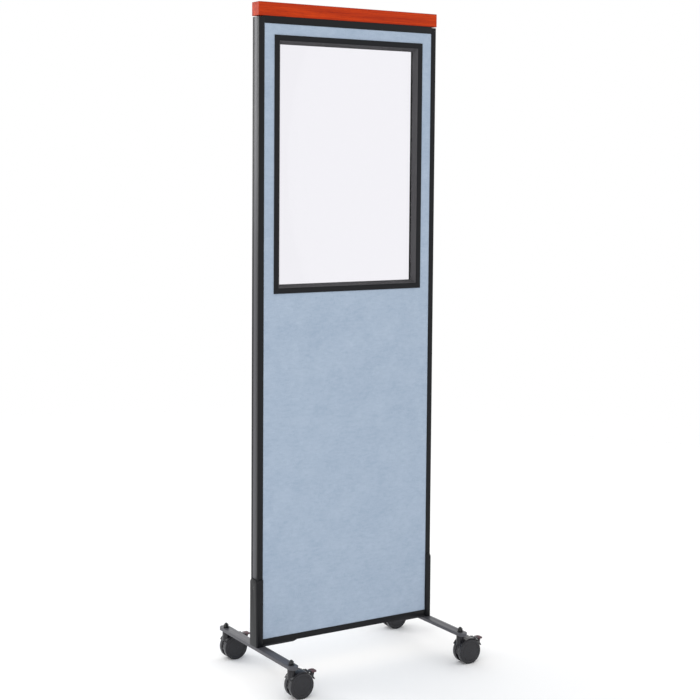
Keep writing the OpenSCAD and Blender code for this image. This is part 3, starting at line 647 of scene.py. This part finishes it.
def dressed_panel(label, node, side, cut):
    low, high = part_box(node)
    face_y, back_y = (low.y, high.y) if side < 0 else (high.y, low.y)
    outer = (low.x, low.z, high.x, high.z)
    maker = wrapped_cloth(side, face_y, back_y, outer, cut)
    area = sum(face.calc_area() for face in maker.faces)
    cloth = finish_piece(f"{label}_fabric_cover", maker, fabric, [node], "wall")
    thicken(cloth, CLOTH)
    inner = [outer[0] + CLOTH, outer[1] + CLOTH, outer[2] - CLOTH, outer[3] - CLOTH]
    hole = [cut[0] - CLOTH, cut[1] - CLOTH, cut[2] + CLOTH, cut[3] + CLOTH]
    shy = CLOTH + 0.0004
    y_low, y_high = min(face_y, back_y) + shy, max(face_y, back_y) - shy
    board = finish_piece(f"{label}_board", plate_with_window(inner, hole, y_low, y_high), board_brown,
                         [], "wall")


# %% [markdown]
# The cut-out is narrower than the trim that covers it: the trim laps 8 mm over the fabric all round.

# %% Both panels
LAP = 0.008
trim_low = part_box("front_window_bottom_bar")[0]
trim_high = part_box("front_window_top_bar")[1]
cut_out = (trim_low.x + LAP, trim_low.z + LAP, trim_high.x - LAP, trim_high.z - LAP)
dressed_panel("front", "front_fabric_panel", -1, cut_out)
dressed_panel("rear", "rear_fabric_panel", 1, cut_out)

# %% [markdown]
# ## Window trim
#
# The trim is a metal extrusion, cut at 45 degrees and joined like a picture frame. Its section starts
# with a thin lip on the fabric, has a flat face, then a fine step and a long slope down to the pane.
# Small radii on each arris are what catch the light as thin bright lines. The face is rolled black;
# the slope carries painted light: a lighter copy of the coat, put on by the way each polygon faces.

# %% Trim section
TRIM_PROUD = 0.0020
SLOPE_FROM = 0.0150  # distance inwards past which a leaning polygon belongs to the slope


def trim_section(lip_y, pane_y, width, lap):
    """(y, distance inwards) of the front trim, counted outwards as negative y."""
    face_y = lip_y - TRIM_PROUD
    return filleted([
        (lip_y, 0.0, 0.0),
        (face_y, 0.0, 0.0009),
        (face_y, 0.0140, 0.0010),
        (face_y + 0.0014, 0.0148, 0.0004),
        (face_y + 0.0011, 0.0164, 0.0006),
        (pane_y - 0.0012, width, 0.0005),
        (pane_y, width, 0.0003),
        (pane_y, lap, 0.0),
        (lip_y, lap, 0.0),
    ], 4)


def mitred_bar(name, node, side, level, low_edge, half_length, middle, anchor):
    """level bars run along X, the others along Z; low_edge is +1 where inwards is positive."""
    section = trim_section(-SEAT, -PANE_FACE, BAR_WIDTH, LAP + 0.0003)
    rings = []
    for t in (-1.0, -0.5, 0.0, 0.5, 1.0):
        ring = []
        for y, inward in section:
            along = middle + t * (half_length - inward)
            across = anchor + low_edge * inward
            ring.append((along, -side * y, across) if level else (across, -side * y, along))
        rings.append(ring)
    bar = finish_piece(name, skin(rings), trim_charcoal, [node], "wall", smooth=24)
    # the second material is the slope's painted light, a lighter copy of the black coat
    bar.data.materials.append(slope_painted_light)
    for polygon in bar.data.polygons:
        outward = side * polygon.normal.y
        corners = [bar.data.vertices[v].co for v in polygon.vertices]
        reach = max(low_edge * ((corner.z if level else corner.x) - anchor) for corner in corners)
        # leaning polygons past SLOPE_FROM get the painted light
        if 0.2 < outward < 0.98 and reach > SLOPE_FROM:
            polygon.material_index = 1


# %% Eight mitred bars
SEAT = -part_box("front_fabric_panel")[0].y
PANE_FACE = -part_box("front_gasket")[0].y
BAR_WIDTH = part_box("front_window_bottom_bar")[1].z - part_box("front_window_bottom_bar")[0].z
half_w = (trim_high.x - trim_low.x) / 2
half_h = (trim_high.z - trim_low.z) / 2
mid_x = (trim_high.x + trim_low.x) / 2
mid_z = (trim_high.z + trim_low.z) / 2
for face, side in (("front", -1), ("rear", 1)):
    for end, level, low_edge, half, middle, anchor in (
        ("bottom", True, 1, half_w, mid_x, trim_low.z),
        ("top", True, -1, half_w, mid_x, trim_high.z),
        ("left", False, 1, half_h, mid_z, trim_low.x),
        ("right", False, -1, half_h, mid_z, trim_high.x),
    ):
        bar_name = f"{face}_{end}_window_trim"
        mitred_bar(bar_name, f"{face}_window_{end}_bar", side, level, low_edge, half, middle, anchor)
print("window trim: 8 bars, each", round(BAR_WIDTH * 1000, 1), "mm wide")

# %% [markdown]
# ## Easing the edges of CAD solids
#
# A CAD solid has perfectly sharp edges. Real sheet, bar and moulded parts never do, and a sharp edge
# has no highlight, so it looks like paper. This helper copies a solid, merges its flat triangles back
# into whole faces, and bevels every edge that turns by more than about 30 degrees. Faces made by
# the bevel are marked, so that the finish can wear there, and on wood take painted shade, and nowhere
# else.

# %% Eased copies
def eased(name, node, width, finish, body, segments=2, turn=34):
    maker = bmesh.new()
    maker.from_mesh(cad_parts[node].data)
    bmesh.ops.remove_doubles(maker, verts=maker.verts, dist=2e-6)
    bmesh.ops.dissolve_limit(maker, angle_limit=math.radians(0.6), verts=maker.verts, edges=maker.edges)
    worn = maker.faces.layers.float.new("edge")
    sharp = [edge for edge in maker.edges
             if len(edge.link_faces) == 2 and edge.calc_face_angle(0.0) > math.radians(turn)]
    made = bmesh.ops.bevel(maker, geom=sharp, offset=width, offset_type="OFFSET", segments=segments,
                           profile=0.5, affect="EDGES", clamp_overlap=True)
    for face in made["faces"]:
        face[worn] = 1.0
    bmesh.ops.triangulate(maker, faces=[face for face in maker.faces if len(face.verts) > 4])
    return finish_piece(name, maker, finish, [node], body, smooth=30)


# %% Frame pieces
for node, width in (("left_stile", 0.0004), ("right_stile", 0.0004),
                    ("top_rail", 0.0005), ("bottom_rail", 0.0005)):
    eased(f"{node}_tube", node, width, frame_black, "wall")
print("edge frame: 4 tubes")

# %% [markdown]
# ## End strips
#
# The strip that closes the groove in each stile is a thin extrusion. Two fine lines run along it,
# close to its edges, where a second wall would link on.

# %% Build the end strips
def end_strip(name, node, side):
    low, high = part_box(node)
    face, back = (low.x, high.x) if side < 0 else (high.x, low.x)
    inward = 1 if side < 0 else -1
    half = (high.y - low.y) / 2
    corners = [(back, -half, 0.0), (face, -half, 0.0004)]
    for y in (-half + 0.0022, half - 0.0030):
        corners += [(face, y, 0.0001), (face + inward * 0.0004, y + 0.0002, 0.0),
                    (face + inward * 0.0004, y + 0.0006, 0.0), (face, y + 0.0008, 0.0001)]
    corners += [(face, half, 0.0004), (back, half, 0.0)]
    outline = filleted(corners, 3)
    heights = [low.z, low.z + 0.0003] + grid_stops(low.z + 0.3, high.z - 0.3, 0.4)
    heights += [high.z - 0.0003, high.z]
    rings = [[(x, y, z) for x, y in outline] for z in heights]
    # the strip wears a lighter copy of the frame's black: painted sheen, the light reflected on the end
    # faces
    return finish_piece(name, skin(rings), strip_painted_sheen, [node], "wall", smooth=24)


end_strip("left_end_strip", "left_end_trim", -1)
end_strip("right_end_strip", "right_end_trim", 1)
print("end strips: 2")

# %% [markdown]
# ## Feet
#
# The sleeves are bent from sheet, the legs are cut from flat bar, the base plates from thinner bar.
# All are linished before coating, so their edges are eased by half a millimetre to nearly one.

# %% Build the feet
for end in ("left", "right"):
    eased(f"{end}_foot_sleeve", f"{end}_sleeve", 0.0006, frame_black, "wall")
    eased(f"{end}_foot_leg", f"{end}_leg", 0.0009, leg_grey, "wall", segments=3)
    eased(f"{end}_foot_plate", f"{end}_base_plate", 0.0005, foot_charcoal, "wall")
eased("hexagon_nuts", "stem_nuts", 0.0003, black_zinc, "wall", turn=24)
eased("plain_washers", "stem_washers", 0.0002, black_zinc, "wall")
print("feet: sleeves, legs, plates, nuts and washers")

# %% [markdown]
# ## Inside the wall
#
# These pieces never show on a finished wall: timber uprights and battens round the window, steel
# corner brackets, rubber gaskets, and the paper honeycomb that keeps the two boards apart.
# The honeycomb is glued paper strips pulled open into six-sided cells, so it is modelled as cells.

# %% Timber, brackets, gaskets, pane
for label, node, finish in (
    ("left_timber_stud", "left_inner_stud", softwood_upright),
    ("right_timber_stud", "right_inner_stud", softwood_upright),
    ("head_batten", "window_head_batten", softwood_level),
    ("sill_batten", "window_sill_batten", softwood_level),
):
    eased(label, node, 0.0008, finish, "wall")
eased("steel_corner_brackets", "corner_brackets", 0.0004, zinc, "wall")
eased("front_rubber_gasket", "front_gasket", 0.0005, rubber_black, "wall")
eased("rear_rubber_gasket", "rear_gasket", 0.0005, rubber_black, "wall")
eased("clear_window_pane", "window_pane", 0.0004, acrylic, "wall")
print("inside: timber, brackets, gaskets, pane")


# %% Honeycomb
def honeycomb(node, across, paper):
    low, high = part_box(node)
    maker = bmesh.new()
    pitch_x, pitch_z = across, across * math.sqrt(3) / 2
    columns = int((high.x - low.x - across) // pitch_x)
    rows = int((high.z - low.z - across * 1.2) // pitch_z)
    start_x = (low.x + high.x - (columns - 0.5) * pitch_x) / 2
    start_z = (low.z + high.z - (rows - 1) * pitch_z) / 2
    big, small = across / math.sqrt(3), (across - paper) / math.sqrt(3)
    for row in range(rows):
        for column in range(columns):
            x = start_x + column * pitch_x + (row % 2) * pitch_x / 2
            z = start_z + row * pitch_z
            rings = []
            for y, radius in ((low.y, big), (high.y, big), (high.y, small), (low.y, small)):
                ring = []
                for k in range(6):
                    turn = math.radians(60 * k + 30)
                    corner = (x + radius * math.cos(turn), y, z + radius * math.sin(turn))
                    ring.append(maker.verts.new(corner))
                rings.append(ring)
            for first, second in zip(rings[1:], rings[2:] + rings[:1]):
                for k in range(6):
                    m = (k + 1) % 6
                    maker.faces.new((first[k], first[m], second[m], second[k]))
    bmesh.ops.remove_doubles(maker, verts=maker.verts, dist=1e-5)
    edge_loops = [edge for edge in maker.edges if len(edge.link_faces) == 1]
    bmesh.ops.bridge_loops(maker, edges=edge_loops)
    print("honeycomb:", rows, "rows of", columns, "cells")
    return finish_piece("paper_honeycomb", maker, paper_brown, [node], "wall", smooth=20)


honeycomb("honeycomb_core", 0.024, 0.0006)

# %% [markdown]
# ## Screws, bolts and stems
#
# The small turned parts keep their CAD shape, because threads and sockets are already right. They
# only need their zinc: bright where they are hidden, black where they show.

# %% Zinc on the small parts
def dress(node, finish):
    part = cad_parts[node]
    part.data.materials.clear()
    part.data.materials.append(finish)
    part.data.shade_smooth()
    part.data.set_sharp_from_angle(angle=math.radians(30))


for node in ("cap_screws", "frame_screws", "base_bolts"):
    dress(node, zinc)
for node in ("caster_stems", "sleeve_screws"):
    dress(node, black_zinc)
print("small parts dressed")

# %% [markdown]
# ## Casters
#
# A twin-wheel caster has a moulded hood with a web in its middle, and a wheel on each side of the web.
# A wheel is a turned shape, so it is drawn as half a section and spun. Its face has a shallow dish
# with a fine ring in it, its tread is slightly crowned, and its inner side is open round the hub.
# The tread is marked as worn, since that is where the dust and scuffs are. The brake lever is black
# like the hood, with a maroon pad moulded over the part that a foot presses.

# %% Turn the wheels
PIN_RADIUS = 0.0041
TREAD_BAND = 0.0006  # the tread is what lies within this of the wheel's full radius


def turned_wheel(name, node, body, steps=96):
    low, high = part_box(node)
    axis_x, axis_z = (low.x + high.x) / 2, (low.z + high.z) / 2
    hood = node.replace("front_wheel", "caster_hood").replace("back_wheel", "caster_hood")
    hood_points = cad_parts[hood].data.vertices
    hood_y = sum(v.co.y for v in hood_points) / len(hood_points)
    outward = 1 if (low.y + high.y) / 2 > hood_y else -1
    inner_y = low.y if outward > 0 else high.y
    width = high.y - low.y
    radius = (high.z - low.z) / 2
    rim_inset = 0.0002
    section = filleted([
        (PIN_RADIUS, 0.0, 0.0),
        (0.0090, 0.0, 0.0004),
        (0.0090, width - 0.0040, 0.0010),
        (radius - 0.0080, width - 0.0040, 0.0014),
        (radius - 0.0080, rim_inset, 0.0005),
        (radius - 0.0002, rim_inset, 0.0014),
        (radius, width * 0.5, 0.0),
        (radius - 0.0002, width, 0.0026),
        (radius - 0.0078, width, 0.0006),
        (radius - 0.0088, width - 0.0011, 0.0005),
        (radius - 0.0104, width - 0.0011, 0.0005),
        (radius - 0.0114, width - 0.0004, 0.0006),
        (0.0065, width - 0.0007, 0.0006),
        (0.0056, width - 0.0002, 0.0004),
    ], 4)
    bore_depth = width - 0.0025 + 0.0001
    maker = bmesh.new()
    worn = maker.verts.layers.float.new("edge")
    rings = []
    for k in range(steps):
        turn = 2 * math.pi * k / steps
        ring = []
        for r, y in section:
            spot = maker.verts.new((axis_x + r * math.cos(turn), inner_y + outward * y,
                                    axis_z + r * math.sin(turn)))
            spot[worn] = 1.0 if r > radius - TREAD_BAND else 0.0
            ring.append(spot)
        rings.append(ring)
    outer_tip = maker.verts.new((axis_x, inner_y + outward * (width - 0.0001), axis_z))
    bore_y = inner_y + outward * bore_depth
    bore = [maker.verts.new((axis_x + PIN_RADIUS * math.cos(2 * math.pi * k / steps), bore_y,
                             axis_z + PIN_RADIUS * math.sin(2 * math.pi * k / steps)))
            for k in range(steps)]
    bore_tip = maker.verts.new((axis_x, bore_y, axis_z))
    for k in range(steps):
        here, there = rings[k], rings[(k + 1) % steps]
        for a in range(len(section) - 1):
            maker.faces.new((here[a], here[a + 1], there[a + 1], there[a]))
        maker.faces.new((here[-1], outer_tip, there[-1]))
        maker.faces.new((here[0], there[0], bore[(k + 1) % steps], bore[k]))
        maker.faces.new((bore[k], bore[(k + 1) % steps], bore_tip))
    return finish_piece(name, maker, nylon_black, [node], body, smooth=40)


# %% Four casters
CASTERS = ("front_left", "front_right", "rear_left", "rear_right")
PAD_DEPTH = 0.0050
PAD_LENGTH = 0.0160
for caster in CASTERS:
    eased(f"{caster}_hood_moulding", f"{caster}_caster_hood", 0.0005, nylon_black,
          f"{caster}_fork")
    pedal = eased(f"{caster}_brake_pedal", f"{caster}_brake_lever", 0.0006, nylon_maroon,
                  f"{caster}_brake")
    pedal.data.materials.append(nylon_black)
    lever_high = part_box(f"{caster}_brake_lever")[1]
    for polygon in pedal.data.polygons:
        spot = polygon.center
        on_pad = spot.z > lever_high.z - PAD_DEPTH and spot.x > lever_high.x - PAD_LENGTH
        polygon.material_index = 0 if on_pad else 1
    for place in ("front", "back"):
        turned_wheel(f"{caster}_{place}_twin_wheel", f"{caster}_{place}_wheel",
                     f"{caster}_{place}_wheel_turning")
    dress(f"{caster}_caster_pins", zinc)
print("casters:", len(CASTERS))

# %% [markdown]
# ## Floor and light
#
# A product stands on a pale sweep in soft, even light. The world gives most of it, like a white
# tent, and three large panels add direction: one high at the front left, one behind the left end
# whose reflection brightens the end faces, and one behind.

# %% Studio
FLOOR_RADIUS = 5.0
SOLID_RADIUS = 1.2   # past this the floor fades into the world's white


def pale_floor():
    finish = Finish("pale_floor", Roughness=0.9, Specular_IOR_Level=0.1)
    finish.feed("Base Color", finish.blend(finish.noise(2.0), (0.95, 0.95, 0.95), (0.98, 0.98, 0.98)))
    reach = finish.add("VectorMath", {"operation": "LENGTH"}, {0: finish.place()}, output="Value")
    finish.feed("Alpha", finish.remap(reach, SOLID_RADIUS, FLOOR_RADIUS, 1.0, 0.0))
    maker = bmesh.new()
    bmesh.ops.create_circle(maker, cap_ends=True, radius=FLOOR_RADIUS, segments=96)
    mesh = bpy.data.meshes.new("floor")
    maker.to_mesh(mesh)
    maker.free()
    mesh.materials.append(finish.material)
    floor = bpy.data.objects.new("floor", mesh)
    bpy.context.scene.collection.objects.link(floor)


def soft_panel(name, place, aim, size, power):
    light = bpy.data.lights.new(name, "AREA")
    light.shape, light.size, light.energy = "SQUARE", size, power
    lamp = bpy.data.objects.new(name, light)
    bpy.context.scene.collection.objects.link(lamp)
    lamp.location = place
    lamp.rotation_euler = (Vector(aim) - Vector(place)).to_track_quat("-Z", "Y").to_euler()


pale_floor()
soft_panel("key_panel", (-3.2, -3.6, 3.6), (0, 0, 1.0), 2.6, 40)
soft_panel("left_panel", (-2.0, 2.6, 2.1), (0, 0, 1.4), 1.5, 30)
soft_panel("back_panel", (0.5, 4.0, 3.2), (0, 0, 1.0), 3.0, 20)
world = bpy.data.worlds.new("white_tent")
world.use_nodes = True
world.node_tree.nodes["Background"].inputs["Color"].default_value = (1.0, 1.0, 1.0, 1.0)
world.node_tree.nodes["Background"].inputs["Strength"].default_value = 1.0
bpy.context.scene.world = world
bpy.context.scene.view_settings.view_transform = "Standard"
print("studio ready")

# %% [markdown]
# ## Camera
#
# The camera stands to the left of the wall, a little above its middle, and looks slightly down.
# Its place is measured from the wall's middle at floor level, so it follows if the wall changes.

# %% Place the camera
CAMERA_OFFSET = Vector((-2.35587, -3.84184, 1.5182))
PITCH, ROLL, YAW = 0.072, 0.0091, 0.5726
FOCAL_SHARE = 2.14147
SHIFT = (-0.04175, -0.10873)
SENSOR = 36.0


def camera_axes():
    """Rows: to the right, forwards, and up, as seen by the camera."""
    turn_z = Matrix(((math.cos(YAW), -math.sin(YAW), 0),
                     (math.sin(YAW), math.cos(YAW), 0),
                     (0, 0, 1)))
    turn_x = Matrix(((1, 0, 0),
                     (0, math.cos(PITCH), -math.sin(PITCH)),
                     (0, math.sin(PITCH), math.cos(PITCH))))
    turn_y = Matrix(((math.cos(ROLL), 0, math.sin(ROLL)),
                     (0, 1, 0),
                     (-math.sin(ROLL), 0, math.cos(ROLL))))
    return turn_y @ turn_x @ turn_z


right, forwards, up = camera_axes()
lens = bpy.data.cameras.new("studio_camera")
lens.sensor_width = SENSOR
lens.lens = SENSOR * FOCAL_SHARE
lens.shift_x, lens.shift_y = SHIFT
camera = bpy.data.objects.new("studio_camera", lens)
bpy.context.scene.collection.objects.link(camera)
stand = Matrix((right, up, -forwards)).transposed().to_4x4()
stand.translation = Vector((wall_middle.x, 0, 0)) + CAMERA_OFFSET
camera.matrix_world = stand
bpy.context.scene.camera = camera
print("camera at", [round(v, 3) for v in camera.matrix_world.translation])
